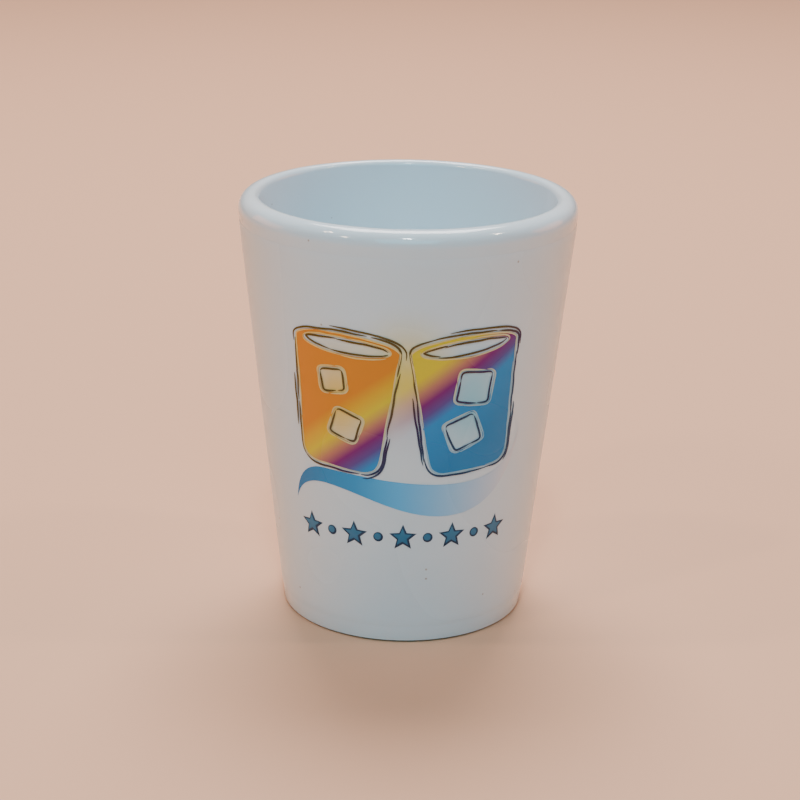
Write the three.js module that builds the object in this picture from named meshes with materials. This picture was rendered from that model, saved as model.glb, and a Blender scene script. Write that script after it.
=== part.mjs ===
// A ceramic souvenir shot glass, in millimetres. It stands on its foot ring at z = 0 with its axis on +Z, and
// its front, which carries the printed picture, faces -Y.
//
// The glass is built in the layers that it is made in: the fired clay body, the glaze fused over it inside and
// out, the clear coat that takes the print on the outside wall, and the picture's inks on that coat.

import * as THREE from "three";
import { TessellateModifier } from "three/addons/modifiers/TessellateModifier.js";

// ---- Driving dimensions ----

const HEIGHT = 60;
const RIM_RADIUS = 23.4; // the widest part of the rolled lip
const FOOT_RADIUS = 17.2; // where the line of the outside wall meets the table
const LIP_OUTER_ARC = 2.0; // the lip is rolled further on its outside than on its inside
const LIP_INNER_ARC = 0.9;
const FLOOR_HEIGHT = 5.2; // top of the glazed floor inside
const FLOOR_FILLET = 5;

const GLAZE = 0.3; // thickness of the fused glaze
const BARE_FOOT = 0.4; // height of the band at the foot that is wiped clean of glaze
const FOOT_ROUND = 0.2;
const RECESS_RADIUS = 14;
const RECESS_DEPTH = 1.5; // hollow inside the foot ring, under the glass
const RECESS_FILLET = 0.7;

const COAT = 0.08; // clear print coat on the outside wall
const COAT_BOTTOM = 2.5;
const COAT_TOP = 56.5;
const INK = 0.06;
const BOND_GAP = 0.04; // clearance between a thin layer and the faceted one under it

const AROUND = 48; // facets round the glass
const ARC_STEPS = 5;

// ---- Shape of the wall ----

const lipCentre = RIM_RADIUS - LIP_OUTER_ARC;
const lipRun = lipCentre - FOOT_RADIUS;
const lipRise = HEIGHT - LIP_OUTER_ARC;

// Angle of the wall from upright that makes its line run from the foot to a tangent of the lip's outer arc.
const taper = Math.atan2(lipRun, lipRise) + Math.asin(LIP_OUTER_ARC / Math.hypot(lipRun, lipRise));

// Square thickness of the wall between the tangents of the lip's two arcs.
const wall = LIP_OUTER_ARC + LIP_INNER_ARC + (LIP_OUTER_ARC - LIP_INNER_ARC) * Math.sin(taper);

// Radius of the outside wall at height z, or of a surface that lies squarely inside it by inset.
function wallRadius(z, inset = 0) {
  return FOOT_RADIUS + z * Math.tan(taper) - inset / Math.cos(taper);
}

// Points of an arc in the profile plane, x being the radius and y the height.
function arc(x, y, radius, from, to, steps = ARC_STEPS) {
  return Array.from({ length: steps + 1 }, (_, i) => {
    const angle = from + ((to - from) * i) / steps;
    return new THREE.Vector2(x + radius * Math.cos(angle), y + radius * Math.sin(angle));
  });
}

// The bowl's finished surface, or one that lies inside the clay by inset, from the height lowest on the outside
// wall, up over the lip, down the inside wall and across the floor to the axis.
function bowlSurface(lowest, inset) {
  const quarter = Math.PI / 2;
  const filletHeight = FLOOR_HEIGHT + FLOOR_FILLET;
  const filletCentre = wallRadius(filletHeight, wall + FLOOR_FILLET);
  const outerLip = arc(lipCentre, HEIGHT - LIP_OUTER_ARC, LIP_OUTER_ARC - inset, -taper, quarter);
  const innerLip = arc(lipCentre, HEIGHT - LIP_INNER_ARC, LIP_INNER_ARC - inset, quarter, Math.PI - taper);
  const fillet = arc(filletCentre, filletHeight, FLOOR_FILLET + inset, -taper, -quarter);
  return [
    new THREE.Vector2(wallRadius(lowest, inset), lowest),
    ...outerLip,
    ...innerLip.slice(1),
    ...fillet,
    new THREE.Vector2(0, FLOOR_HEIGHT - inset),
  ];
}

// ---- Materials ----

function material(name, color, roughness) {
  return new THREE.MeshStandardMaterial({ name, color, roughness, metalness: 0 });
}

const clay = material("fired_clay", 0x937962, 0.85);
const glaze = material("white_glaze", 0xeef0f1, 0.12);
const printCoat = material("print_coat", 0xedf0f2, 0.18);
const orangeInk = material("orange_ink", 0xd9932f, 0.2);
const blueInk = material("blue_ink", 0x3f8fc0, 0.2);
const skyInk = material("sky_ink", 0x69b4dc, 0.2);
const navyInk = material("navy_ink", 0x2b5f86, 0.2);

// ---- Layers of the glass ----

// A turned piece: profile is spun about the axis, and runs with the solid on its left.
function turned(name, profile, finish) {
  const mesh = new THREE.Mesh(new THREE.LatheGeometry(profile, AROUND), finish);
  mesh.name = name;
  mesh.rotation.x = Math.PI / 2;
  return mesh;
}

function clayBody() {
  const footEdge = wallRadius(0, GLAZE) - FOOT_ROUND;
  const profile = [
    new THREE.Vector2(0, RECESS_DEPTH),
    ...arc(RECESS_RADIUS - RECESS_FILLET, RECESS_DEPTH - RECESS_FILLET, RECESS_FILLET, Math.PI / 2, 0, 3),
    new THREE.Vector2(RECESS_RADIUS, 0),
    ...arc(footEdge, FOOT_ROUND, FOOT_ROUND, -Math.PI / 2, 0, 3),
    ...bowlSurface(BARE_FOOT, GLAZE),
  ];
  return turned("clay_body", profile, clay);
}

// The bowl's glaze is one coat: it starts above the bare foot, goes over the lip and lines the inside.
function bowlGlaze() {
  const profile = [...bowlSurface(BARE_FOOT, GLAZE).reverse(), ...bowlSurface(BARE_FOOT, 0)];
  return turned("bowl_glaze", profile, glaze);
}

// The glaze left in the recess, cut off from the rest by the bare foot ring.
function recessGlaze() {
  const edge = RECESS_RADIUS - RECESS_FILLET;
  const profile = [
    new THREE.Vector2(0, RECESS_DEPTH - GLAZE),
    new THREE.Vector2(edge - GLAZE, RECESS_DEPTH - GLAZE),
    new THREE.Vector2(edge, RECESS_DEPTH - GLAZE / 2),
    new THREE.Vector2(edge, RECESS_DEPTH),
    new THREE.Vector2(0, RECESS_DEPTH),
  ];
  return turned("recess_glaze", profile, glaze);
}

function wallCoat() {
  const inside = -BOND_GAP;
  const outside = inside - COAT;
  const profile = [
    new THREE.Vector2(wallRadius(COAT_BOTTOM, inside), COAT_BOTTOM),
    new THREE.Vector2(wallRadius(COAT_BOTTOM, outside), COAT_BOTTOM),
    new THREE.Vector2(wallRadius(COAT_TOP, outside), COAT_TOP),
    new THREE.Vector2(wallRadius(COAT_TOP, inside), COAT_TOP),
    new THREE.Vector2(wallRadius(COAT_BOTTOM, inside), COAT_BOTTOM),
  ];
  return turned("print_coat", profile, printCoat);
}

// ---- Printed picture ----
// Artwork is drawn flat. Its x runs round the wall from the middle of the front, measured in millimetres at
// ART_RADIUS, and its y is the height above the table.

const ART_RADIUS = 20;
const ART_STEP = 2.5; // longest edge of the wrapped artwork's triangles

// Two tumblers of iced drink held rim to rim. Each is drawn upright about its own middle, seen from a little
// above, so that its mouth is an ellipse.
const TUMBLER_APART = 8.2; // from the middle of the front to each tumbler's middle
const TUMBLER_HEIGHT = 36;
const TUMBLER_TILT = THREE.MathUtils.degToRad(5);
const RIM_HALF = 6.9;
const RIM_LEVEL = 8;
const RIM_BULGE = 1.8;
const BASE_HALF = 5.6;
const BASE_LEVEL = -9.8;
const BASE_ROUND = 2.4;
const MOUTH_HALF = 5.7;
const MOUTH_BULGE = 1.15;
const ICE_ROUND = 0.9;
const LEFT_ICE = [
  { x: -1.4, y: 2.9, size: 3.7, turn: 0.2 },
  { x: 0.7, y: -3.3, size: 4.2, turn: -0.26 },
];
const RIGHT_ICE = [
  { x: 0.9, y: 2.2, size: 4.9, turn: -0.2 },
  { x: -0.8, y: -4.0, size: 4.7, turn: 0.3 },
];

// A row of stars with dots between them, under the picture.
const STARS = 5;
const MARK_PITCH = 3.55;
const MARK_HEIGHT = 16.5;
const STAR_RADIUS = 2.05;
const STAR_WAIST = 0.92;
const DOT_RADIUS = 0.72;

// The corners of a square ice cube, each as the start, corner and end of its rounding.
function iceHole({ x, y, size, turn }) {
  const hole = new THREE.Path();
  const middle = new THREE.Vector2();
  for (let i = 0; i < 4; i += 1) {
    const angle = (-i * Math.PI) / 2;
    const place = (u, v) => new THREE.Vector2(u, v).rotateAround(middle, angle + turn).add({ x, y });
    const start = place(-size / 2, size / 2 - ICE_ROUND);
    const corner = place(-size / 2, size / 2);
    const end = place(-size / 2 + ICE_ROUND, size / 2);
    if (i === 0) hole.moveTo(start.x, start.y);
    else hole.lineTo(start.x, start.y);
    hole.quadraticCurveTo(corner.x, corner.y, end.x, end.y);
  }
  return hole;
}

// A tumbler's painted area: its side and base, less its open mouth and the pale ice in it.
function tumblerShape(ice) {
  const flare = (RIM_HALF - BASE_HALF) / (RIM_LEVEL - BASE_LEVEL);
  const low = BASE_LEVEL + BASE_ROUND;
  const lowHalf = BASE_HALF + flare * BASE_ROUND;
  const flat = BASE_HALF - BASE_ROUND;
  const shape = new THREE.Shape();
  shape.moveTo(-flat, BASE_LEVEL);
  shape.lineTo(flat, BASE_LEVEL);
  shape.quadraticCurveTo(BASE_HALF, BASE_LEVEL, lowHalf, low);
  shape.lineTo(RIM_HALF, RIM_LEVEL);
  shape.absellipse(0, RIM_LEVEL, RIM_HALF, RIM_BULGE, 0, Math.PI);
  shape.lineTo(-lowHalf, low);
  shape.quadraticCurveTo(-BASE_HALF, BASE_LEVEL, -flat, BASE_LEVEL);
  shape.holes.push(new THREE.Path().absellipse(0, RIM_LEVEL, MOUTH_HALF, MOUTH_BULGE, 0, 2 * Math.PI, true));
  shape.holes.push(...ice.map(iceHole));
  return shape;
}

// A ribbon in one long wave, which starts as a point low on the left, and curls up to a point on the right.
function waveShape() {
  const shape = new THREE.Shape();
  shape.moveTo(-16.9, 20.0);
  shape.bezierCurveTo(-16.0, 22.4, -14.0, 23.6, -11.2, 23.5);
  shape.bezierCurveTo(-5.0, 23.2, 0.5, 19.0, 7.5, 19.7);
  shape.bezierCurveTo(13.0, 20.2, 16.6, 24.6, 17.0, 31.0);
  shape.bezierCurveTo(16.2, 25.0, 11.0, 24.2, 5.5, 24.4);
  shape.bezierCurveTo(-0.5, 24.6, -6.0, 25.7, -11.5, 25.7);
  shape.bezierCurveTo(-14.6, 25.7, -16.4, 23.4, -16.9, 20.0);
  return shape;
}

function starShape() {
  const points = [];
  for (let i = 0; i < 10; i += 1) {
    const angle = Math.PI / 2 + (i * Math.PI) / 5;
    const radius = i % 2 ? STAR_WAIST : STAR_RADIUS;
    points.push(new THREE.Vector2(radius * Math.cos(angle), radius * Math.sin(angle)));
  }
  return new THREE.Shape(points);
}

function dotShape() {
  return new THREE.Shape().absarc(0, 0, DOT_RADIUS, 0, 2 * Math.PI);
}

// A patch of ink: shape is turned by tilt, moved to (x, y) in the artwork, and wrapped round the coated wall.
function ink(name, shape, x, y, tilt, finish) {
  const flat = new THREE.ExtrudeGeometry(shape, { depth: INK, bevelEnabled: false, curveSegments: 5 });
  flat.rotateZ(tilt).translate(x, y, 0);
  const geometry = new TessellateModifier(ART_STEP, 12).modify(flat);
  const points = geometry.getAttribute("position");
  for (let i = 0; i < points.count; i += 1) {
    const angle = points.getX(i) / ART_RADIUS;
    const z = points.getY(i);
    const radius = wallRadius(z, -(2 * BOND_GAP + COAT)) + points.getZ(i);
    points.setXYZ(i, radius * Math.sin(angle), -radius * Math.cos(angle), z);
  }
  geometry.computeVertexNormals();
  const mesh = new THREE.Mesh(geometry, finish);
  mesh.name = name;
  return mesh;
}

function picture() {
  const group = new THREE.Group();
  const left = tumblerShape(LEFT_ICE);
  const right = tumblerShape(RIGHT_ICE);
  group.add(
    ink("ink_left_tumbler", left, -TUMBLER_APART, TUMBLER_HEIGHT, -TUMBLER_TILT, orangeInk),
    ink("ink_right_tumbler", right, TUMBLER_APART, TUMBLER_HEIGHT, TUMBLER_TILT, blueInk),
    ink("ink_wave", waveShape(), 0, 0, 0, skyInk),
  );
  const marks = 2 * STARS - 1;
  for (let i = 0; i < marks; i += 1) {
    const x = (i - (marks - 1) / 2) * MARK_PITCH;
    const number = Math.floor(i / 2) + 1;
    if (i % 2) group.add(ink(`ink_dot_${number}`, dotShape(), x, MARK_HEIGHT, 0, navyInk));
    else group.add(ink(`ink_star_${number}`, starShape(), x, MARK_HEIGHT, 0, navyInk));
  }
  return group;
}

const glass = new THREE.Group();
glass.add(clayBody(), bowlGlaze(), recessGlaze(), wallCoat(), picture());

export default glass;
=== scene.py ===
"""A glazed ceramic souvenir shot glass, standing on a plain pale floor.

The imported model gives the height, the rim's width and the bodies. The clay, the glaze and the clear coat are turned
from profiles. The printed picture is drawn flat and then wrapped round the coated wall, with its front facing -Y.
Profiles and artwork are in millimetres, and become metres where their meshes are made.
"""

import math
import random

import bpy
from mathutils import Matrix, Vector


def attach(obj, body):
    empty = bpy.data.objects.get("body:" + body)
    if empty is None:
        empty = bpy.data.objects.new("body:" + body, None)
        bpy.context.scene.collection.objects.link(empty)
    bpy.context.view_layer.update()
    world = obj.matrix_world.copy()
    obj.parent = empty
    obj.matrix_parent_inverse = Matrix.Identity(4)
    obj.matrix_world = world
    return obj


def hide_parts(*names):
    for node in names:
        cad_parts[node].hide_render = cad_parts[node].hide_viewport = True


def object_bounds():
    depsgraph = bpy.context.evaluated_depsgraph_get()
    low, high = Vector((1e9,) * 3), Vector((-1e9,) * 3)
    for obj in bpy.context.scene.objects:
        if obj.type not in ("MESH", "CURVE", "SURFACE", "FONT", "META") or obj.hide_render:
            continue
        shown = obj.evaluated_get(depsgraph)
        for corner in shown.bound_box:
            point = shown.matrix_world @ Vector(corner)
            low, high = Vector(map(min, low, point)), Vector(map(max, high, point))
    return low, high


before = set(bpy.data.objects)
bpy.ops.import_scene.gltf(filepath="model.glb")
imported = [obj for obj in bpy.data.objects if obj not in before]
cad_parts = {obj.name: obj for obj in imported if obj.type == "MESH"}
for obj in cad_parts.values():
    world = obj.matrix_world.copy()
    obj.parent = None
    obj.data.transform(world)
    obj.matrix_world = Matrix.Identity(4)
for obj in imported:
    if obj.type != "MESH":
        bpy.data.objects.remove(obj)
cad_low, cad_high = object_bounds()

MM = 0.001

# ---- Sizes of the glass, in millimetres ----

HEIGHT = cad_high.z / MM
RIM_RADIUS = round(cad_high.x / MM, 1)
FOOT_RADIUS = 17.2
LIP_OUTER_ARC = 2.0
LIP_INNER_ARC = 0.9
FLOOR_HEIGHT = 5.2
FLOOR_FILLET = 5.0
GLAZE = 0.3
BARE_FOOT = 0.4
FOOT_ROUND = 0.2
RECESS_RADIUS = 14.0
RECESS_DEPTH = 1.5
RECESS_FILLET = 0.7
COAT_GAP = 0.02  # between the glaze and the clear coat on it
COAT = 0.06
COAT_BOTTOM = 2.5
COAT_TOP = 56.5
COAT_FEATHER = 1.2  # height over which the coat thins away at its edges

AROUND = 240
ARC_STEPS = 20
QUARTER = math.pi / 2

lip_centre = RIM_RADIUS - LIP_OUTER_ARC
lip_rise = HEIGHT - LIP_OUTER_ARC
lip_run = lip_centre - FOOT_RADIUS
TAPER = math.atan2(lip_run, lip_rise) + math.asin(LIP_OUTER_ARC / math.hypot(lip_run, lip_rise))
WALL = LIP_OUTER_ARC + LIP_INNER_ARC + (LIP_OUTER_ARC - LIP_INNER_ARC) * math.sin(TAPER)

# ---- Sizes of the printed picture, in millimetres along the wall ----

ART_RADIUS = 20.0  # distances round the wall are measured at this radius
TUMBLER_APART = 8.2
TUMBLER_HEIGHT = 36.0
TUMBLER_TILT = math.radians(5)
RIM_HALF = 6.9
RIM_LEVEL = 8.0
RIM_BULGE = 1.8
BASE_HALF = 5.6
BASE_LEVEL = -9.8
BASE_ROUND = 2.4
MOUTH_HALF = 5.7
MOUTH_BULGE = 1.15
ICE_ROUND = 0.9
LEFT_ICE = ((-1.4, 2.9, 3.7, 0.2), (0.7, -3.3, 4.2, -0.26))  # middle x, middle y, side, turn
RIGHT_ICE = ((0.9, 2.2, 4.9, -0.2), (-0.8, -4.0, 4.7, 0.3))
MARK_PITCH = 3.55
MARK_HEIGHT = 16.5
STARS = 5
STAR_RADIUS = 2.05
STAR_WAIST = 0.92
DOT_RADIUS = 0.72
INK_LIFT = 0.02
INK = 0.02
PEN_WIDTH = 0.29
PEN_WOBBLE = 0.4
PEN_GAP = 0.3  # from the edge of a tumbler's ink out to the pen line round it
SECOND_PEN_GAP = 0.75
INNER_PEN_GAP = -0.3  # into the pale mouth and ice
HIGHLIGHT_WIDTH = 0.22
HIGHLIGHT_GAP = -0.06
INNER_HIGHLIGHT_GAP = 0.12


# ---- Node trees ----


class Tree:
    """Adds nodes to a node tree. An input given as a socket is linked, and any other value is set on the node."""

    def __init__(self, tree):
        self.tree = tree

    def add(self, kind, inputs=None, **settings):
        node = self.tree.nodes.new(kind)
        for name, value in settings.items():
            setattr(node, name, value)
        for key, value in (inputs or {}).items():
            if isinstance(value, bpy.types.NodeSocket):
                self.tree.links.new(value, node.inputs[key])
            else:
                node.inputs[key].default_value = value
        return node

    def math(self, operation, a, b=0.0):
        return self.add("ShaderNodeMath", {0: a, 1: b}, operation=operation).outputs[0]

    def whole(self, operation, a, b):
        return self.add("FunctionNodeIntegerMath", {0: a, 1: b}, operation=operation).outputs[0]

    def parts(self, vector):
        return self.add("ShaderNodeSeparateXYZ", {0: vector}).outputs

    def vector(self, x, y, z):
        return self.add("ShaderNodeCombineXYZ", {0: x, 1: y, 2: z}).outputs[0]


def geometry_tree(name, inputs):
    """A new Geometry Nodes group with named inputs, given as {name: (socket kind, value)}."""
    group = bpy.data.node_groups.new(name, "GeometryNodeTree")
    group.interface.new_socket("Geometry", in_out="INPUT", socket_type="NodeSocketGeometry")
    group.interface.new_socket("Geometry", in_out="OUTPUT", socket_type="NodeSocketGeometry")
    for label, (kind, value) in inputs.items():
        socket = group.interface.new_socket(label, in_out="INPUT", socket_type=f"NodeSocket{kind}")
        if value is not None:
            socket.default_value = value
    tree = Tree(group)
    return tree, tree.add("NodeGroupInput").outputs, tree.add("NodeGroupOutput").inputs


def run_tree(name, group, source=None, **values):
    """The plain mesh that a Geometry Nodes group makes from the source object, as a new object."""
    carrier = source or bpy.data.objects.new(name + "_carrier", bpy.data.meshes.new(name + "_carrier"))
    if not source:
        bpy.context.scene.collection.objects.link(carrier)
    modifier = carrier.modifiers.new(name, "NODES")
    modifier.node_group = group
    for item in group.interface.items_tree:
        if item.in_out == "INPUT" and item.name in values:
            modifier[item.identifier] = values[item.name]
    evaluated = carrier.evaluated_get(bpy.context.evaluated_depsgraph_get())
    mesh = bpy.data.meshes.new_from_object(evaluated)
    carrier.modifiers.remove(modifier)
    bpy.data.objects.remove(carrier)
    piece = bpy.data.objects.new(name, mesh)
    mesh.name = name
    bpy.context.scene.collection.objects.link(piece)
    return piece


def turned_tree():
    """Turns a profile curve, drawn in the XZ plane, about the Z axis into a closed mesh.

    The UV map "wall" holds millimetres round the wall from the middle of the front, and height.
    """
    tree, given, result = geometry_tree(
        "turned",
        {
            "Profile": ("Object", None),
            "Around": ("Int", AROUND),
            "Lip Unevenness": ("Float", 0.0),
            "Unevenness Size": ("Float", 9 * MM),
            "Seed": ("Int", 5),
            "Sharp Angle": ("Float", math.radians(40)),
            "Finish": ("Material", None),
        },
    )
    profile = tree.add("GeometryNodeObjectInfo", {"Object": given["Profile"]}).outputs["Geometry"]
    size = tree.add("GeometryNodeAttributeDomainSize", {0: profile}, component="CURVE").outputs["Point Count"]
    columns = tree.whole("ADD", given["Around"], 1)
    grid = tree.add("GeometryNodeMeshGrid", {"Vertices X": columns, "Vertices Y": size})
    index = tree.add("GeometryNodeInputIndex").outputs[0]
    row = tree.whole("MODULO", index, size)
    column = tree.whole("DIVIDE_FLOOR", index, size)
    position = tree.add("GeometryNodeInputPosition").outputs[0]
    point = tree.add(
        "GeometryNodeSampleIndex",
        {"Geometry": profile, "Value": position, "Index": row},
        data_type="FLOAT_VECTOR",
        domain="POINT",
    ).outputs[0]
    radius, _, height = tree.parts(point)
    turn = tree.math("DIVIDE", column, given["Around"])
    angle = tree.math("MULTIPLY", tree.math("SUBTRACT", turn, 0.5), 2 * math.pi)
    across = tree.math("MULTIPLY", angle, ART_RADIUS)
    up = tree.math("DIVIDE", height, MM)
    unrolled = tree.add(
        "GeometryNodeFieldOnDomain", {0: tree.vector(across, up, 0.0)}, data_type="FLOAT_VECTOR", domain="POINT"
    ).outputs[0]
    mapped = tree.add(
        "GeometryNodeStoreNamedAttribute",
        {"Geometry": grid.outputs["Mesh"], "Name": "wall", "Value": unrolled},
        data_type="FLOAT2",
        domain="CORNER",
    ).outputs[0]
    x = tree.math("MULTIPLY", radius, tree.math("SINE", angle))
    y = tree.math("MULTIPLY", radius, tree.math("COSINE", angle))
    place = tree.vector(x, tree.math("MULTIPLY", y, -1.0), height)
    turned = tree.add("GeometryNodeSetPosition", {"Geometry": mapped, "Position": place}).outputs[0]
    closed = tree.add("GeometryNodeMergeByDistance", {"Geometry": turned, "Distance": 0.001 * MM}).outputs[0]
    offset = lip_unevenness(tree, given)
    uneven = tree.add("GeometryNodeSetPosition", {"Geometry": closed, "Offset": offset}).outputs[0]
    smooth = tree.add("GeometryNodeSetShadeSmooth", {"Geometry": uneven, "Shade Smooth": True}).outputs[0]
    sharp = tree.add(
        "FunctionNodeCompare",
        {0: tree.add("GeometryNodeInputMeshEdgeAngle").outputs["Unsigned Angle"], 1: given["Sharp Angle"]},
        data_type="FLOAT",
        operation="GREATER_THAN",
    ).outputs[0]
    creased = tree.add(
        "GeometryNodeSetShadeSmooth",
        {"Geometry": smooth, "Selection": sharp, "Shade Smooth": False},
        domain="EDGE",
    ).outputs[0]
    finished = tree.add("GeometryNodeSetMaterial", {"Geometry": creased, "Material": given["Finish"]}).outputs[0]
    tree.tree.links.new(tree.add("GeometryNodeRealizeInstances", {0: finished}).outputs[0], result[0])
    return tree.tree


def lip_unevenness(tree, given):
    """How far each point of a hand-dipped lip stands off its true place."""
    position = tree.add("GeometryNodeInputPosition").outputs[0]
    noise = tree.add(
        "ShaderNodeTexNoise",
        {
            "Vector": position,
            "W": given["Seed"],
            "Scale": tree.math("DIVIDE", 1.0, given["Unevenness Size"]),
            "Detail": 2.0,
        },
        noise_dimensions="4D",
    ).outputs[0]
    height = tree.parts(position)[2]
    near_lip = tree.add(
        "ShaderNodeMapRange",
        {0: height, 1: (HEIGHT - 4.0) * MM, 2: (HEIGHT - 1.0) * MM, 3: 0.0, 4: 1.0},
        interpolation_type="SMOOTHSTEP",
    ).outputs[0]
    amount = tree.math("MULTIPLY", tree.math("SUBTRACT", noise, 0.5), given["Lip Unevenness"])
    normal = tree.add("GeometryNodeInputNormal").outputs[0]
    return tree.add(
        "ShaderNodeVectorMath",
        {0: normal, "Scale": tree.math("MULTIPLY", amount, near_lip)},
        operation="SCALE",
    ).outputs[0]


def wrap_socket(tree, lift, radii):
    """Where a point of the flat artwork, in millimetres, goes on the coated wall, in metres."""
    position = tree.add("GeometryNodeInputPosition").outputs[0]
    across, up, above = tree.parts(position)
    angle = tree.math("DIVIDE", across, ART_RADIUS)
    wall = tree.math("ADD", tree.math("MULTIPLY", up, radii["Slope"]), radii["Foot Radius"])
    radius = tree.math("ADD", wall, tree.math("ADD", above, lift))
    x = tree.math("MULTIPLY", radius, tree.math("SINE", angle))
    y = tree.math("MULTIPLY", radius, tree.math("COSINE", angle))
    millimetres = tree.vector(x, tree.math("MULTIPLY", y, -1.0), up)
    return tree.add("ShaderNodeVectorMath", {0: millimetres, "Scale": MM}, operation="SCALE").outputs[0]


WRAP_INPUTS = {
    "Lift": ("Float", 0.0),
    "Thickness": ("Float", INK),
    "Foot Radius": ("Float", FOOT_RADIUS),
    "Slope": ("Float", math.tan(TAPER)),
    "Finish": ("Material", None),
}


def finish_print(tree, given, flat, result):
    """Gives flat faces a thickness, wraps them round the wall and hands them on."""
    position = tree.add("GeometryNodeInputPosition").outputs[0]
    mapped = tree.add(
        "GeometryNodeStoreNamedAttribute",
        {"Geometry": flat, "Name": "wall", "Value": position},
        data_type="FLOAT2",
        domain="CORNER",
    ).outputs[0]
    raised = tree.add(
        "GeometryNodeExtrudeMesh",
        {"Mesh": mapped, "Offset": (0.0, 0.0, 1.0), "Offset Scale": given["Thickness"], "Individual": False},
    ).outputs["Mesh"]
    under = tree.add("GeometryNodeFlipFaces", {0: mapped}).outputs[0]
    both = tree.add("GeometryNodeJoinGeometry")
    tree.tree.links.new(under, both.inputs[0])
    tree.tree.links.new(raised, both.inputs[0])
    closed = tree.add("GeometryNodeMergeByDistance", {"Geometry": both.outputs[0], "Distance": 0.001}).outputs[0]
    place = wrap_socket(tree, given["Lift"], given)
    wrapped = tree.add("GeometryNodeSetPosition", {"Geometry": closed, "Position": place}).outputs[0]
    smooth = tree.add("GeometryNodeSetShadeSmooth", {"Geometry": wrapped, "Shade Smooth": True}).outputs[0]
    finished = tree.add("GeometryNodeSetMaterial", {"Geometry": smooth, "Material": given["Finish"]}).outputs[0]
    tree.tree.links.new(tree.add("GeometryNodeRealizeInstances", {0: finished}).outputs[0], result[0])
    return tree.tree


def filled_print_tree():
    """Fills flat closed curves, holes left open, as a thin patch of ink on the wall."""
    tree, given, result = geometry_tree("filled_print", {"Fineness": ("Int", 4), **WRAP_INPUTS})
    filled = tree.add("GeometryNodeFillCurve", {0: given["Geometry"]}, mode="TRIANGLES").outputs[0]
    fine = tree.add("GeometryNodeSubdivideMesh", {"Mesh": filled, "Level": given["Fineness"]}).outputs[0]
    return finish_print(tree, given, fine, result)


def stroke_print_tree():
    """Draws each flat curve as a pen stroke on the wall: thin at both ends, and uneven in width."""
    inputs = {
        "Width": ("Float", 0.3),
        "Step": ("Float", 0.18),
        "Wobble": ("Float", 0.1),
        "Seed": ("Int", 3),
        **WRAP_INPUTS,
    }
    tree, given, result = geometry_tree("stroke_print", inputs)
    even = tree.add(
        "GeometryNodeResampleCurve", {"Curve": given["Geometry"], "Length": given["Step"]}, mode="LENGTH"
    ).outputs[0]
    position = tree.add("GeometryNodeInputPosition").outputs[0]
    noise = tree.add(
        "ShaderNodeTexNoise",
        {"Vector": position, "W": given["Seed"], "Scale": 0.35, "Detail": 1.0},
        noise_dimensions="4D",
    ).outputs
    centred = tree.add("ShaderNodeVectorMath", {0: noise["Color"], 1: (0.5, 0.5, 0.5)}, operation="SUBTRACT")
    across, up, _ = tree.parts(centred.outputs[0])
    flat_shift = tree.vector(
        tree.math("MULTIPLY", across, given["Wobble"]), tree.math("MULTIPLY", up, given["Wobble"]), 0.0
    )
    shaky = tree.add("GeometryNodeSetPosition", {"Geometry": even, "Offset": flat_shift}).outputs[0]
    upright = tree.add("GeometryNodeSetCurveNormal", {"Curve": shaky}, mode="Z_UP").outputs[0]
    along = tree.add("GeometryNodeSplineParameter").outputs["Factor"]
    from_middle = tree.math("ABSOLUTE", tree.math("SUBTRACT", tree.math("MULTIPLY", along, 2.0), 1.0))
    taper = tree.math("SUBTRACT", 1.0, tree.math("MULTIPLY", tree.math("POWER", from_middle, 4.0), 0.8))
    pressed = tree.math("MULTIPLY", taper, tree.math("ADD", 0.75, tree.math("MULTIPLY", noise[0], 0.5)))
    ribbon = tree.add("GeometryNodeSetCurveRadius", {"Curve": upright, "Radius": pressed}).outputs[0]
    section = tree.add("GeometryNodeCurvePrimitiveLine", {"Start": (-0.5, 0, 0), "End": (0.5, 0, 0)}).outputs[0]
    wide = tree.vector(given["Width"], given["Width"], 1.0)
    section = tree.add("GeometryNodeTransform", {"Geometry": section, "Scale": wide}).outputs[0]
    strip = tree.add(
        "GeometryNodeCurveToMesh", {"Curve": ribbon, "Profile Curve": section, "Scale": pressed}
    ).outputs[0]
    return finish_print(tree, given, strip, result)


# ---- Profiles of the turned layers ----


def arc(x, y, radius, start, end, steps=ARC_STEPS):
    """Points of an arc in the profile plane, x being the distance from the axis and y the height."""
    angles = [start + (end - start) * i / steps for i in range(steps + 1)]
    return [(x + radius * math.cos(a), y + radius * math.sin(a)) for a in angles]


def wall_radius(z, inset=0.0):
    """Radius of the outside wall at height z, or of a surface squarely inside it by inset."""
    return FOOT_RADIUS + z * math.tan(TAPER) - inset / math.cos(TAPER)


def wall_line(bottom, top, inset, step=2.0):
    """Points up the outside wall, or up a surface squarely inside it by inset."""
    steps = math.ceil((top - bottom) / step)
    heights = [bottom + (top - bottom) * i / steps for i in range(steps + 1)]
    return [(wall_radius(z, inset), z) for z in heights]


def bowl_surface(lowest, inset):
    """The surface of the bowl at that depth in the clay: up the outside, over the lip, down and in to the axis."""
    outer_lip = arc(lip_centre, HEIGHT - LIP_OUTER_ARC, LIP_OUTER_ARC - inset, -TAPER, QUARTER)
    inner_lip = arc(lip_centre, HEIGHT - LIP_INNER_ARC, LIP_INNER_ARC - inset, QUARTER, math.pi - TAPER)
    fillet_height = FLOOR_HEIGHT + FLOOR_FILLET
    fillet_centre = wall_radius(fillet_height, WALL + FLOOR_FILLET)
    fillet = arc(fillet_centre, fillet_height, FLOOR_FILLET + inset, -TAPER, -QUARTER)
    outside = wall_line(lowest, outer_lip[0][1], inset)
    inside = wall_line(fillet[0][1], inner_lip[-1][1], WALL - inset)
    return outside[:-1] + outer_lip + inner_lip[1:] + inside[-2:0:-1] + fillet + [(0.0, FLOOR_HEIGHT - inset)]


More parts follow.
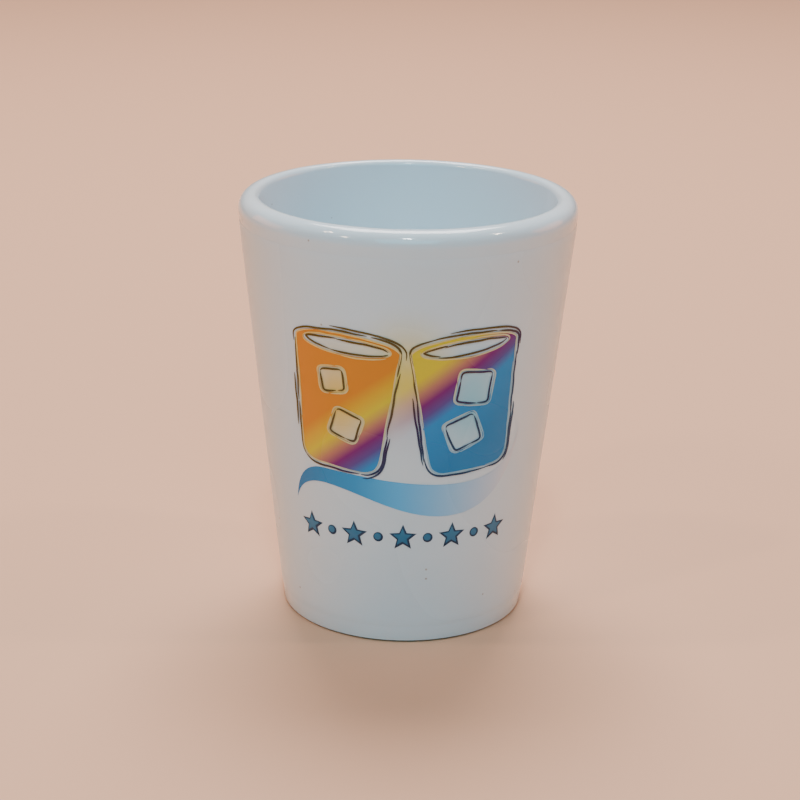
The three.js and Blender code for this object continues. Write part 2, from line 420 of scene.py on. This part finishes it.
def clay_profile():
    foot_edge = wall_radius(0.0, GLAZE) - FOOT_ROUND
    recess = arc(RECESS_RADIUS - RECESS_FILLET, RECESS_DEPTH - RECESS_FILLET, RECESS_FILLET, QUARTER, 0.0, 6)
    ring = arc(foot_edge, FOOT_ROUND, FOOT_ROUND, -QUARTER, 0.0, 6)
    return [(0.0, RECESS_DEPTH)] + recess + [(RECESS_RADIUS, 0.0)] + ring + bowl_surface(BARE_FOOT, GLAZE)


def glaze_profile():
    """The bowl's glaze, with the edge that it ends in above the foot drawn as a soft bead."""
    surface = bowl_surface(BARE_FOOT, 0.0)
    under = bowl_surface(BARE_FOOT, GLAZE)
    bead = arc(wall_radius(BARE_FOOT, GLAZE / 2), BARE_FOOT, GLAZE / 2, -math.pi, -TAPER, 6)
    return under[::-1] + bead + surface[1:]


def recess_glaze_profile():
    edge = RECESS_RADIUS - RECESS_FILLET
    bead = arc(edge - GLAZE, RECESS_DEPTH, GLAZE, -QUARTER, 0.0, 6)
    return [(0.0, RECESS_DEPTH - GLAZE)] + bead + [(0.0, RECESS_DEPTH)]


def coat_profile():
    """The clear coat: a closed band on the wall that thins away at its top and bottom edges."""
    steps = 6
    rise = [COAT_FEATHER * i / steps for i in range(1, steps)]
    thickness = [COAT * math.sin(QUARTER * i / steps) for i in range(1, steps)]
    up = [(COAT_BOTTOM + z, t) for z, t in zip(rise, thickness)]
    down = [(COAT_TOP - z, t) for z, t in zip(rise, thickness)][::-1]
    middle = [(z, COAT) for _, z in wall_line(COAT_BOTTOM + COAT_FEATHER, COAT_TOP - COAT_FEATHER, 0.0)]
    outer = [(wall_radius(z, -(COAT_GAP + t)), z) for z, t in up + middle + down]
    inner = wall_line(COAT_BOTTOM, COAT_TOP, -COAT_GAP)
    return inner[:1] + outer + inner[::-1]


def turned(name, profile, finish, unevenness=0.0):
    """A turned layer of the glass, as a piece that rides on the glass."""
    curve = bpy.data.curves.new(name + "_profile", "CURVE")
    curve.dimensions = "3D"
    spline = curve.splines.new("POLY")
    spline.points.add(len(profile) - 1)
    for point, (radius, height) in zip(spline.points, profile):
        point.co = (radius * MM, 0.0, height * MM, 1.0)
    drawn = bpy.data.objects.new(name + "_profile", curve)
    bpy.context.scene.collection.objects.link(drawn)
    values = {"Profile": drawn, "Finish": finish, "Lip Unevenness": unevenness * MM}
    piece = run_tree(name, TURNED, **values)
    bpy.data.objects.remove(drawn)
    return piece


# ---- The picture's outlines ----


def bent(start, control, end, steps=8):
    """Points along a quadratic curve, without its first."""
    points = []
    for i in range(1, steps + 1):
        t = i / steps
        a, b, c = (1 - t) ** 2, 2 * t * (1 - t), t**2
        points.append(tuple(a * p + b * q + c * r for p, q, r in zip(start, control, end)))
    return points


def swept(start, control_1, control_2, end, steps=16):
    """Points along a cubic curve, without its first."""
    points = []
    for i in range(1, steps + 1):
        t = i / steps
        weights = ((1 - t) ** 3, 3 * t * (1 - t) ** 2, 3 * t**2 * (1 - t), t**3)
        corners = (start, control_1, control_2, end)
        points.append(tuple(sum(w * p[k] for w, p in zip(weights, corners)) for k in (0, 1)))
    return points


def ellipse(x, y, half_width, half_height, steps=48, start=0.0, end=2 * math.pi):
    angles = [start + (end - start) * i / steps for i in range(steps)]
    return [(x + half_width * math.cos(a), y + half_height * math.sin(a)) for a in angles]


def turn_point(point, angle, x=0.0, y=0.0):
    """The point turned about (0, 0) and then moved by x and y."""
    c, s = math.cos(angle), math.sin(angle)
    return (point[0] * c - point[1] * s + x, point[0] * s + point[1] * c + y)


def tumbler_side():
    """The painted outline of a tumbler about its own middle: its base, its sides and the far side of its mouth."""
    low = BASE_LEVEL + BASE_ROUND
    low_half = BASE_HALF + (RIM_HALF - BASE_HALF) * BASE_ROUND / (RIM_LEVEL - BASE_LEVEL)
    flat = BASE_HALF - BASE_ROUND
    right_corner = bent((flat, BASE_LEVEL), (BASE_HALF, BASE_LEVEL), (low_half, low))
    mouth = ellipse(0.0, RIM_LEVEL, RIM_HALF, RIM_BULGE, 32, 0.0, math.pi)
    left_corner = bent((-low_half, low), (-BASE_HALF, BASE_LEVEL), (-flat, BASE_LEVEL))
    return [(flat, BASE_LEVEL)] + right_corner + mouth + [(-RIM_HALF, RIM_LEVEL), (-low_half, low)] + left_corner


def ice_outline(x, y, side, turn):
    points = []
    for i in range(4):
        a, b = -side / 2, side / 2
        start = (a, b - ICE_ROUND)
        corner = [start] + bent(start, (a, b), (a + ICE_ROUND, b), 5)
        points += [turn_point(p, turn - i * QUARTER, x, y) for p in corner]
    return points


def tumbler_outlines(ice):
    """A tumbler's outline, and those of the mouth and the ice that are left pale in it."""
    mouth = ellipse(0.0, RIM_LEVEL, MOUTH_HALF, MOUTH_BULGE)
    return [tumbler_side(), mouth] + [ice_outline(*cube) for cube in ice]


def placed(outlines, side):
    """A tumbler's outlines moved to its place in the picture. Side is -1 for the left one and 1 for the right."""
    return [
        [turn_point(p, side * TUMBLER_TILT, side * TUMBLER_APART, TUMBLER_HEIGHT) for p in outline]
        for outline in outlines
    ]


def wave_outline():
    """A ribbon in one long wave, pointed low on the left and curling up to a point on the right."""
    left, right = (-16.9, 20.0), (17.0, 31.0)
    lower_hump, lower_dip = (-11.2, 23.5), (7.5, 19.7)
    upper_dip, upper_hump = (5.5, 24.4), (-11.5, 25.7)
    return (
        swept(left, (-16.0, 22.4), (-14.0, 23.6), lower_hump)
        + swept(lower_hump, (-5.0, 23.2), (0.5, 19.0), lower_dip)
        + swept(lower_dip, (13.0, 20.2), (16.6, 24.6), right)
        + swept(right, (16.2, 25.0), (11.0, 24.2), upper_dip)
        + swept(upper_dip, (-0.5, 24.6), (-6.0, 25.7), upper_hump)
        + swept(upper_hump, (-14.6, 25.7), (-16.4, 23.4), left)
    )


def star_outline(x, y, size=1.0):
    points = []
    for i in range(10):
        radius = size * (STAR_WAIST if i % 2 else STAR_RADIUS)
        angle = QUARTER + i * math.pi / 5
        points.append((x + radius * math.cos(angle), y + radius * math.sin(angle)))
    return points


def flat_curves(name, lines, closed):
    """A curve object with one spline for each line of points."""
    curve = bpy.data.curves.new(name + "_flat", "CURVE")
    curve.dimensions = "3D"
    for line in lines:
        spline = curve.splines.new("POLY")
        spline.points.add(len(line) - 1)
        for point, (x, y) in zip(spline.points, line):
            point.co = (x, y, 0.0, 1.0)
        spline.use_cyclic_u = closed
    drawn = bpy.data.objects.new(name + "_flat", curve)
    bpy.context.scene.collection.objects.link(drawn)
    return drawn


def face_off_wall(piece):
    """Gives every corner the wall's own normal, so that thin ink shines as smoothly as the wall under it."""
    normals = []
    for vertex in piece.data.vertices:
        outward = Vector((vertex.co.x, vertex.co.y, 0.0)).normalized() * math.cos(TAPER)
        normals.append((outward.x, outward.y, -math.sin(TAPER)))
    piece.data.normals_split_custom_set_from_vertices(normals)


def layer_lift(layer):
    """Height of a layer of ink over the glaze. Each layer lies just over the one before."""
    return COAT_GAP + COAT + INK_LIFT + layer * (INK + INK_LIFT)


def ink(name, outlines, finish, layer=0, fineness=4):
    """A filled patch of the picture."""
    drawn = flat_curves(name, outlines, True)
    values = {"Lift": layer_lift(layer), "Fineness": fineness, "Finish": finish}
    piece = run_tree(name, FILLED_PRINT, drawn, **values)
    face_off_wall(piece)
    return piece


def strokes(name, lines, finish, width, wobble=0.25, seed=3):
    """Pen strokes of the picture, in the layer over the first ink."""
    drawn = flat_curves(name, lines, False)
    values = {"Lift": layer_lift(1), "Width": width, "Wobble": wobble, "Seed": seed, "Finish": finish}
    piece = run_tree(name, STROKE_PRINT, drawn, **values)
    face_off_wall(piece)
    return piece


# ---- Finishes ----


def new_finish(name):
    """A material with a Principled shader, its tree and the shader's inputs."""
    finish = bpy.data.materials.new(name)
    finish.use_nodes = True
    shader = finish.node_tree.nodes["Principled BSDF"]
    return finish, Tree(finish.node_tree), shader.inputs


def ramp(tree, factor, stops):
    """A colour ramp with stops given as (position, colour)."""
    node = tree.add("ShaderNodeValToRGB", {0: factor})
    elements = node.color_ramp.elements
    while len(elements) < len(stops):
        elements.new(0.5)
    for element, (position, colour) in zip(elements, stops):
        element.position = position
        element.color = (*colour, 1.0)
    return node.outputs[0]


def mixed(tree, factor, a, b):
    """The colour a where the factor is 0 and b where it is 1."""
    return tree.add("ShaderNodeMix", {0: factor, 6: a, 7: b}, data_type="RGBA").outputs[2]


def noise_at(tree, size, detail=2.0, roughness=0.5):
    """Noise on the piece's own coordinates, with features of about that many millimetres."""
    place = tree.add("ShaderNodeTexCoord").outputs["Object"]
    values = {"Vector": place, "Scale": 1.0 / (size * MM), "Detail": detail, "Roughness": roughness}
    return tree.add("ShaderNodeTexNoise", values).outputs[0]


def between(tree, value, low, high, to_low=0.0, to_high=1.0):
    """The value's place between low and high, as a value between to_low and to_high."""
    return tree.add("ShaderNodeMapRange", {0: value, 1: low, 2: high, 3: to_low, 4: to_high}).outputs[0]


def specks(tree, spacing, radius, share):
    """1 inside rare round specks and 0 elsewhere. Share is how many of the cells hold one."""
    place = tree.add("ShaderNodeTexCoord").outputs["Object"]
    cells = tree.add("ShaderNodeTexVoronoi", {"Vector": place, "Scale": 1.0 / (spacing * MM)}).outputs
    chosen = tree.math("LESS_THAN", tree.parts(cells["Color"])[0], share)
    size = radius / spacing
    inside = between(tree, cells["Distance"], size * 0.5, size, 1.0, 0.0)
    return tree.math("MULTIPLY", chosen, inside)


def bumped(tree, inputs, layers):
    """Stacks bumps given as (height, depth in millimetres) on the shader's normal."""
    normal = None
    for height, depth in layers:
        values = {"Height": height, "Distance": depth * MM}
        if normal:
            values["Normal"] = normal
        normal = tree.add("ShaderNodeBump", values).outputs[0]
    tree.tree.links.new(normal, inputs["Normal"])


WHITE = (0.67, 0.80, 0.89, 1.0)
WARM_WHITE = (0.70, 0.80, 0.86, 1.0)
SPECK = (0.30, 0.25, 0.21, 1.0)


def glaze_colour(tree):
    """White glaze: a little warmer in soft patches, with a few dark specks from the kiln."""
    patches = between(tree, noise_at(tree, 16.0, 0.0), 0.0, 1.0)
    mottled = mixed(tree, patches, WHITE, WARM_WHITE)
    return mixed(tree, tree.math("MULTIPLY", specks(tree, 1.6, 0.2, 0.045), 0.75), mottled, SPECK)


def glaze_finish():
    finish, tree, inputs = new_finish("white_glaze")
    tree.tree.links.new(glaze_colour(tree), inputs["Base Color"])
    tree.tree.links.new(between(tree, noise_at(tree, 9.0, 0.0), 0.0, 1.0, 0.05, 0.13), inputs["Roughness"])
    inputs["IOR"].default_value = 1.52
    bumped(tree, inputs, [(noise_at(tree, 3.2, 1.0), 0.025), (noise_at(tree, 0.9, 0.0), 0.003)])
    return finish


def clay_and_shade_finish():
    finish, tree, inputs = new_finish("fired_clay")
    # A dark brown, partly the clay's own guessed colour and partly painted contact shadow: it is darkened so that the
    # thin bare band at the foot reads as a dark line.
    grain_and_painted_shade = ramp(tree, noise_at(tree, 0.5, 4.0, 0.65), [(0.3, (0.20, 0.12, 0.07)), (0.7, (0.38, 0.26, 0.17))])
    tree.tree.links.new(grain_and_painted_shade, inputs["Base Color"])
    inputs["Roughness"].default_value = 0.85
    bumped(tree, inputs, [(noise_at(tree, 0.35, 4.0), 0.05)])
    return finish


def wall_place(tree):
    """Millimetres round the wall from the middle of the front, and height."""
    place = tree.add("ShaderNodeUVMap", uv_map="wall").outputs[0]
    return tree.parts(place)


BAND_ANGLE = math.radians(38.5)
BAND_HEIGHT = 34.3  # where the middle of the purple band crosses the middle of the front


def band_place(tree):
    """Distance from the middle of the purple band, towards the top left, in millimetres."""
    across, up, _ = wall_place(tree)
    rise = tree.math("MULTIPLY", tree.math("SUBTRACT", up, BAND_HEIGHT), math.cos(BAND_ANGLE))
    return tree.math("SUBTRACT", rise, tree.math("MULTIPLY", across, math.sin(BAND_ANGLE)))


BAND_FROM, BAND_TO = -12.0, 18.0


def band_colour(tree, stops):
    """Colours in diagonal bands. Stops are (millimetres from the purple band, colour)."""
    factor = between(tree, band_place(tree), BAND_FROM, BAND_TO)
    return ramp(tree, factor, [((at - BAND_FROM) / (BAND_TO - BAND_FROM), colour) for at, colour in stops])


BLUE = (0.010, 0.205, 0.47)
LIGHT_BLUE = (0.012, 0.25, 0.58)
VIOLET = (0.10, 0.06, 0.27)
PURPLE = (0.19, 0.006, 0.17)
ROSE = (0.50, 0.20, 0.13)
YELLOW = (0.74, 0.58, 0.018)
AMBER = (0.76, 0.41, 0.012)
ORANGE = (0.72, 0.24, 0.012)

BAND_STOPS = [
    (-9.0, BLUE),
    (-3.0, LIGHT_BLUE),
    (-1.5, VIOLET),
    (0.0, PURPLE),
    (1.5, ROSE),
    (3.2, YELLOW),
    (4.9, AMBER),
    (6.5, ORANGE),
    (15.0, ORANGE),
]
COOL_BAND_STOPS = BAND_STOPS[:6] + [(8.0, YELLOW)]
PALE_STOPS = [(-6.0, (0.30, 0.54, 0.68)), (2.0, (0.76, 0.62, 0.28)), (15.0, (0.82, 0.58, 0.18))]
STROKE_STOPS = [
    (-6.0, (0.012, 0.05, 0.12)),
    (-1.0, (0.035, 0.012, 0.07)),
    (2.0, (0.10, 0.07, 0.02)),
    (15.0, (0.12, 0.075, 0.012)),
]


def set_print_surface(tree, inputs):
    """The even, softer gloss of the coat and of the ink on it."""
    tree.tree.links.new(between(tree, noise_at(tree, 14.0, 0.0), 0.0, 1.0, 0.22, 0.32), inputs["Roughness"])
    inputs["IOR"].default_value = 1.38
    bumped(tree, inputs, [(noise_at(tree, 2.6, 0.0), 0.003)])


def band_finish(name, stops):
    finish, tree, inputs = new_finish(name)
    tree.tree.links.new(band_colour(tree, stops), inputs["Base Color"])
    set_print_surface(tree, inputs)
    return finish


def wave_finish():
    """Blue at the left end, lighter along the ribbon, and faded into the coat at the right end."""
    finish, tree, inputs = new_finish("sky_ink")
    across, _, _ = wall_place(tree)
    stops = [
        (0.0, (0.010, 0.17, 0.42)),
        (0.3, (0.02, 0.29, 0.62)),
        (0.48, (0.09, 0.47, 0.86)),
        (0.62, (0.22, 0.54, 0.86)),
        (0.78, (0.42, 0.62, 0.84)),
        (0.95, (0.70, 0.76, 0.83)),
    ]
    tree.tree.links.new(ramp(tree, between(tree, across, -17.0, 17.0), stops), inputs["Base Color"])
    set_print_surface(tree, inputs)
    return finish


def plain_ink(name, low, high):
    """Ink of one colour that lightens towards the top of a mark."""
    finish, tree, inputs = new_finish(name)
    _, up, _ = wall_place(tree)
    shade = between(tree, up, MARK_HEIGHT - STAR_RADIUS, MARK_HEIGHT + STAR_RADIUS)
    tree.tree.links.new(ramp(tree, shade, [(0.0, low), (1.0, high)]), inputs["Base Color"])
    set_print_surface(tree, inputs)
    return finish


def glow(tree, x, y, half_width, half_height):
    """A soft round glow on the wall: 1 at its middle and 0 at its edge."""
    across, up, _ = wall_place(tree)
    u = tree.math("DIVIDE", tree.math("SUBTRACT", across, x), half_width)
    v = tree.math("DIVIDE", tree.math("SUBTRACT", up, y), half_height)
    distance = tree.math("SQRT", tree.math("ADD", tree.math("MULTIPLY", u, u), tree.math("MULTIPLY", v, v)))
    values = {0: distance, 1: 0.0, 2: 1.0, 3: 1.0, 4: 0.0}
    return tree.add("ShaderNodeMapRange", values, interpolation_type="SMOOTHSTEP").outputs[0]


GLOWS = (  # middle x, middle y, half width, half height, colour
    (-8.6, 36.0, 8.5, 13.0, (0.80, 0.56, 0.13)),
    (8.4, 36.0, 7.5, 12.5, (0.30, 0.62, 0.76)),
)
MIDDLE_GLOW = (0.0, 39.0, 9.0, 12.5)
GLOW_STOPS = [
    (-9.0, (0.45, 0.62, 0.70)),
    (-2.2, (0.48, 0.50, 0.60)),
    (-0.3, (0.46, 0.22, 0.27)),
    (1.5, (0.66, 0.40, 0.22)),
    (3.2, (0.80, 0.64, 0.12)),
    (15.0, (0.80, 0.68, 0.22)),
]


def coat_finish():
    """The coat over the white glaze, with the soft glows that are printed behind the tumblers."""
    finish, tree, inputs = new_finish("print_coat")
    colour = glaze_colour(tree)
    for x, y, half_width, half_height, tint in GLOWS:
        colour = mixed(tree, glow(tree, x, y, half_width, half_height), colour, (*tint, 1.0))
    colour = mixed(tree, glow(tree, *MIDDLE_GLOW), colour, band_colour(tree, GLOW_STOPS))
    tree.tree.links.new(colour, inputs["Base Color"])
    set_print_surface(tree, inputs)
    return finish


# ---- The glass ----


def part_of(line, start, end):
    """The stretch of a closed line between two shares of its points. It may run past the end and on."""
    count = len(line)
    return [line[i % count] for i in range(round(start * count), round(end * count) + 1)]


def even_line(line, step=0.3):
    """A closed line with its points spread evenly along it."""
    points = []
    for (x0, y0), (x1, y1) in zip(line, line[1:] + line[:1]):
        pieces = max(1, round(math.hypot(x1 - x0, y1 - y0) / step))
        points += [(x0 + (x1 - x0) * i / pieces, y0 + (y1 - y0) * i / pieces) for i in range(pieces)]
    return points


def outset(line, distance):
    """A closed line moved outwards by that much. A negative distance moves it inwards."""
    area = sum(x0 * y1 - x1 * y0 for (x0, y0), (x1, y1) in zip(line, line[1:] + line[:1]))
    side = distance if area > 0 else -distance
    moved = []
    for i, (x, y) in enumerate(line):
        x0, y0 = line[i - 2]
        x1, y1 = line[(i + 2) % len(line)]
        length = math.hypot(x1 - x0, y1 - y0)
        moved.append((x + side * (y1 - y0) / length, y - side * (x1 - x0) / length))
    return moved


def sketched(outline, gap, cuts, chance):
    """Loose pen lines round an outline. Cuts are shares of the outline at which the pen was lifted."""
    line = outset(even_line(outline), gap)
    middle = [sum(p[k] for p in line) / len(line) for k in (0, 1)]
    lines = []
    for start, end in zip(cuts, cuts[1:] + [cuts[0] + 1.0]):
        overlap = chance.uniform(0.0, 0.025)
        tilt = chance.uniform(-0.035, 0.035)
        stroke = part_of(line, start - overlap, end - 0.01)
        loose = [turn_point((x - middle[0], y - middle[1]), tilt, *middle) for x, y in stroke]
        lines.append(loose)
    return lines


def cuts_for(count, chance):
    """About evenly spaced shares of an outline, count of them."""
    return [i / count + chance.uniform(-0.04, 0.04) for i in range(count)]


def tumbler_pieces(name, node, ice, side, finish, dark, pale):
    """One printed tumbler: its colour, its dark pen lines and the pale lines beside them."""
    chance = random.Random(11 + side)
    outlines = placed(tumbler_outlines(ice), side)
    body = ink(name, outlines, finish)
    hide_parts(node)
    lines = sketched(outlines[0], PEN_GAP, cuts_for(7, chance), chance)
    for outline in outlines[1:]:
        lines += sketched(outline, INNER_PEN_GAP, cuts_for(3, chance), chance)
    lines += sketched(outlines[0], SECOND_PEN_GAP, cuts_for(6, chance), chance)[::2]
    pen = strokes(name + "_pen", lines, dark, PEN_WIDTH, PEN_WOBBLE)
    highlights = sketched(outlines[0], HIGHLIGHT_GAP, cuts_for(4, chance), chance)
    for outline in outlines[1:]:
        highlights += sketched(outline, INNER_HIGHLIGHT_GAP, cuts_for(4, chance), chance)
    shine = strokes(name + "_shine", highlights, pale, HIGHLIGHT_WIDTH, seed=8)
    return [body, pen, shine]


def mark_row():
    """The places of the marks in the row under the picture, and whether each is a star."""
    count = 2 * STARS - 1
    return [((i - (count - 1) / 2) * MARK_PITCH, MARK_HEIGHT, i % 2 == 0) for i in range(count)]


def mark_outlines(size, shift):
    """The outlines of the marks at that share of their size, moved up and to the left by shift."""
    lines = []
    for x, y, is_star in mark_row():
        if is_star:
            lines.append(star_outline(x - shift, y + shift, size))
        else:
            lines.append(ellipse(x - shift, y + shift, DOT_RADIUS * size, DOT_RADIUS * size, 24))
    return lines


def build_glass():
    """Builds every piece of the glass and hides the CAD nodes that each piece stands for."""
    glaze, clay, coat = glaze_finish(), clay_and_shade_finish(), coat_finish()
    dark = band_finish("pen_ink", STROKE_STOPS)
    pale = band_finish("pale_ink", PALE_STOPS)
    body = turned("clay_shell", clay_profile(), clay)
    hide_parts("clay_body")
    bowl = turned("glaze_skin", glaze_profile(), glaze, 0.12)
    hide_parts("bowl_glaze")
    recess = turned("recess_glaze_skin", recess_glaze_profile(), glaze)
    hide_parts("recess_glaze")
    band = turned("clear_coat", coat_profile(), coat)
    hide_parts("print_coat")
    warm, cool = band_finish("warm_ink", BAND_STOPS), band_finish("cool_ink", COOL_BAND_STOPS)
    left = tumbler_pieces("left_tumbler", "ink_left_tumbler", LEFT_ICE, -1, warm, dark, pale)
    right = tumbler_pieces("right_tumbler", "ink_right_tumbler", RIGHT_ICE, 1, cool, dark, pale)
    wave = ink("wave", [wave_outline()], wave_finish())
    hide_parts("ink_wave")
    navy = plain_ink("navy_ink", (0.008, 0.03, 0.07), (0.02, 0.07, 0.14))
    marks = ink("marks", mark_outlines(1.0, 0.0), navy, fineness=2)
    nodes = [f"ink_star_{i + 1}" for i in range(STARS)] + [f"ink_dot_{i + 1}" for i in range(STARS - 1)]
    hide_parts(*nodes)
    steel = plain_ink("steel_ink", (0.022, 0.13, 0.26), (0.045, 0.22, 0.37))
    faces = ink("mark_faces", mark_outlines(0.68, 0.07), steel, layer=1, fineness=2)
    slots = {
        "fired_clay": [body],
        "white_glaze": [bowl, recess],
        "print_coat": [band],
        "warm_ink": left,
        "cool_ink": right,
        "sky_ink": [wave],
        "navy_ink": [marks, faces],
    }
    for slot, pieces in slots.items():
        for piece in pieces:
            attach(piece, "root")


# ---- Floor, light and camera ----


def build_floor():
    bpy.ops.mesh.primitive_plane_add(size=40.0)
    floor = bpy.context.object
    floor.name = "floor"
    finish, _, inputs = new_finish("pale_floor")
    inputs["Base Color"].default_value = (0.72, 0.41, 0.26, 1.0)
    inputs["Roughness"].default_value = 0.7
    floor.data.materials.append(finish)


def aim(thing, place, target):
    """Puts a light at its place, pointing at the target."""
    direction = Vector(target) - Vector(place)
    thing.location = place
    thing.rotation_euler = direction.to_track_quat("-Z", "Y").to_euler()


def area_light(name, place, target, width, depth, power, colour):
    light = bpy.data.lights.new(name, "AREA")
    light.shape = "RECTANGLE"
    light.size = width
    light.size_y = depth
    light.energy = power
    light.color = colour
    lamp = bpy.data.objects.new(name, light)
    bpy.context.scene.collection.objects.link(lamp)
    aim(lamp, place, target)


LAMP_DISTANCE = 1.2  # metres from the lip to each strip lamp


def strip_lamp(name, azimuth, elevation, width, depth, power, colour):
    """A small bright lamp that glints on the lip. Azimuth 0 is in front of the glass and 90 is to its right."""
    azimuth, elevation = math.radians(azimuth), math.radians(elevation)
    lip = Vector((0.0, 0.0, HEIGHT * MM))
    flat = LAMP_DISTANCE * math.cos(elevation)
    rise = LAMP_DISTANCE * math.sin(elevation)
    place = lip + Vector((flat * math.sin(azimuth), -flat * math.cos(azimuth), rise))
    area_light(name, place, lip, width, depth, power, colour)


def build_world():
    """A soft room, warmer near the horizon than overhead."""
    world = bpy.data.worlds.new("room")
    world.use_nodes = True
    bpy.context.scene.world = world
    tree = Tree(world.node_tree)
    background = world.node_tree.nodes["Background"]
    direction = tree.add("ShaderNodeTexCoord").outputs["Generated"]
    height = between(tree, tree.parts(direction)[2], 0.0, 0.5)
    sky = ramp(tree, height, [(0.0, (1.0, 0.54, 0.36)), (1.0, (0.42, 0.50, 0.58))])
    tree.tree.links.new(sky, background.inputs[0])
    background.inputs[1].default_value = 0.13


def build_lights():
    """A softbox over and behind the glass, a cool window in front, and small lamps round it."""
    middle = (0.0, 0.0, 0.03)
    area_light("overhead", (0.0, 0.40, 0.8), middle, 0.50, 0.44, 11.0, (1.0, 0.93, 0.91))
    area_light("front_fill", (0.0, -1.0, 0.75), middle, 0.8, 0.6, 6.2, (0.12, 0.72, 1.0))
    area_light("rear_fill", (0.0, 1.1, 0.5), middle, 1.6, 0.5, 1.0, (1.0, 0.60, 0.42))
    area_light("left_fill", (-1.0, 0.35, 0.3), middle, 0.6, 0.4, 2.4, (1.0, 0.32, 0.12))
    area_light("right_fill", (1.0, 0.35, 0.3), middle, 0.6, 0.4, 2.9, (1.0, 0.32, 0.12))
    strip_lamp("lamp_front", -1.0, 58.5, 0.07, 0.18, 3.4, (0.9, 0.97, 1.0))
    strip_lamp("lamp_left", -79.0, 54.0, 0.05, 0.12, 2.2, (1.0, 0.76, 0.58))
    strip_lamp("lamp_left_low", -49.0, 41.0, 0.05, 0.12, 2.2, (1.0, 0.76, 0.58))
    strip_lamp("lamp_right", 83.0, 49.0, 0.05, 0.12, 2.2, (1.0, 0.76, 0.58))


# The camera looks down at the glass from just over a quarter of a metre away.
CAMERA_DISTANCE = 0.26995
CAMERA_HEIGHT = 0.12165
CAMERA_PITCH = math.radians(18.797)
CAMERA_YAW = math.radians(-0.155)
CAMERA_ROLL = math.radians(0.882)
CAMERA_LENS = 90.057


def build_camera():
    data = bpy.data.cameras.new("camera")
    data.lens = CAMERA_LENS
    data.sensor_width = 36.0
    data.clip_start = 0.01
    camera = bpy.data.objects.new("camera", data)
    bpy.context.scene.collection.objects.link(camera)
    level = Matrix.Rotation(QUARTER - CAMERA_PITCH, 4, "X")
    yaw = Matrix.Rotation(-CAMERA_YAW, 4, "Z")
    roll = Matrix.Rotation(CAMERA_ROLL, 4, "Z")
    place = Matrix.Translation((0.0, -CAMERA_DISTANCE, CAMERA_HEIGHT))
    camera.matrix_world = place @ yaw @ level @ roll
    bpy.context.scene.camera = camera


TURNED = turned_tree()
FILLED_PRINT = filled_print_tree()
STROKE_PRINT = stroke_print_tree()

build_camera()
build_glass()
build_floor()
build_world()
build_lights()
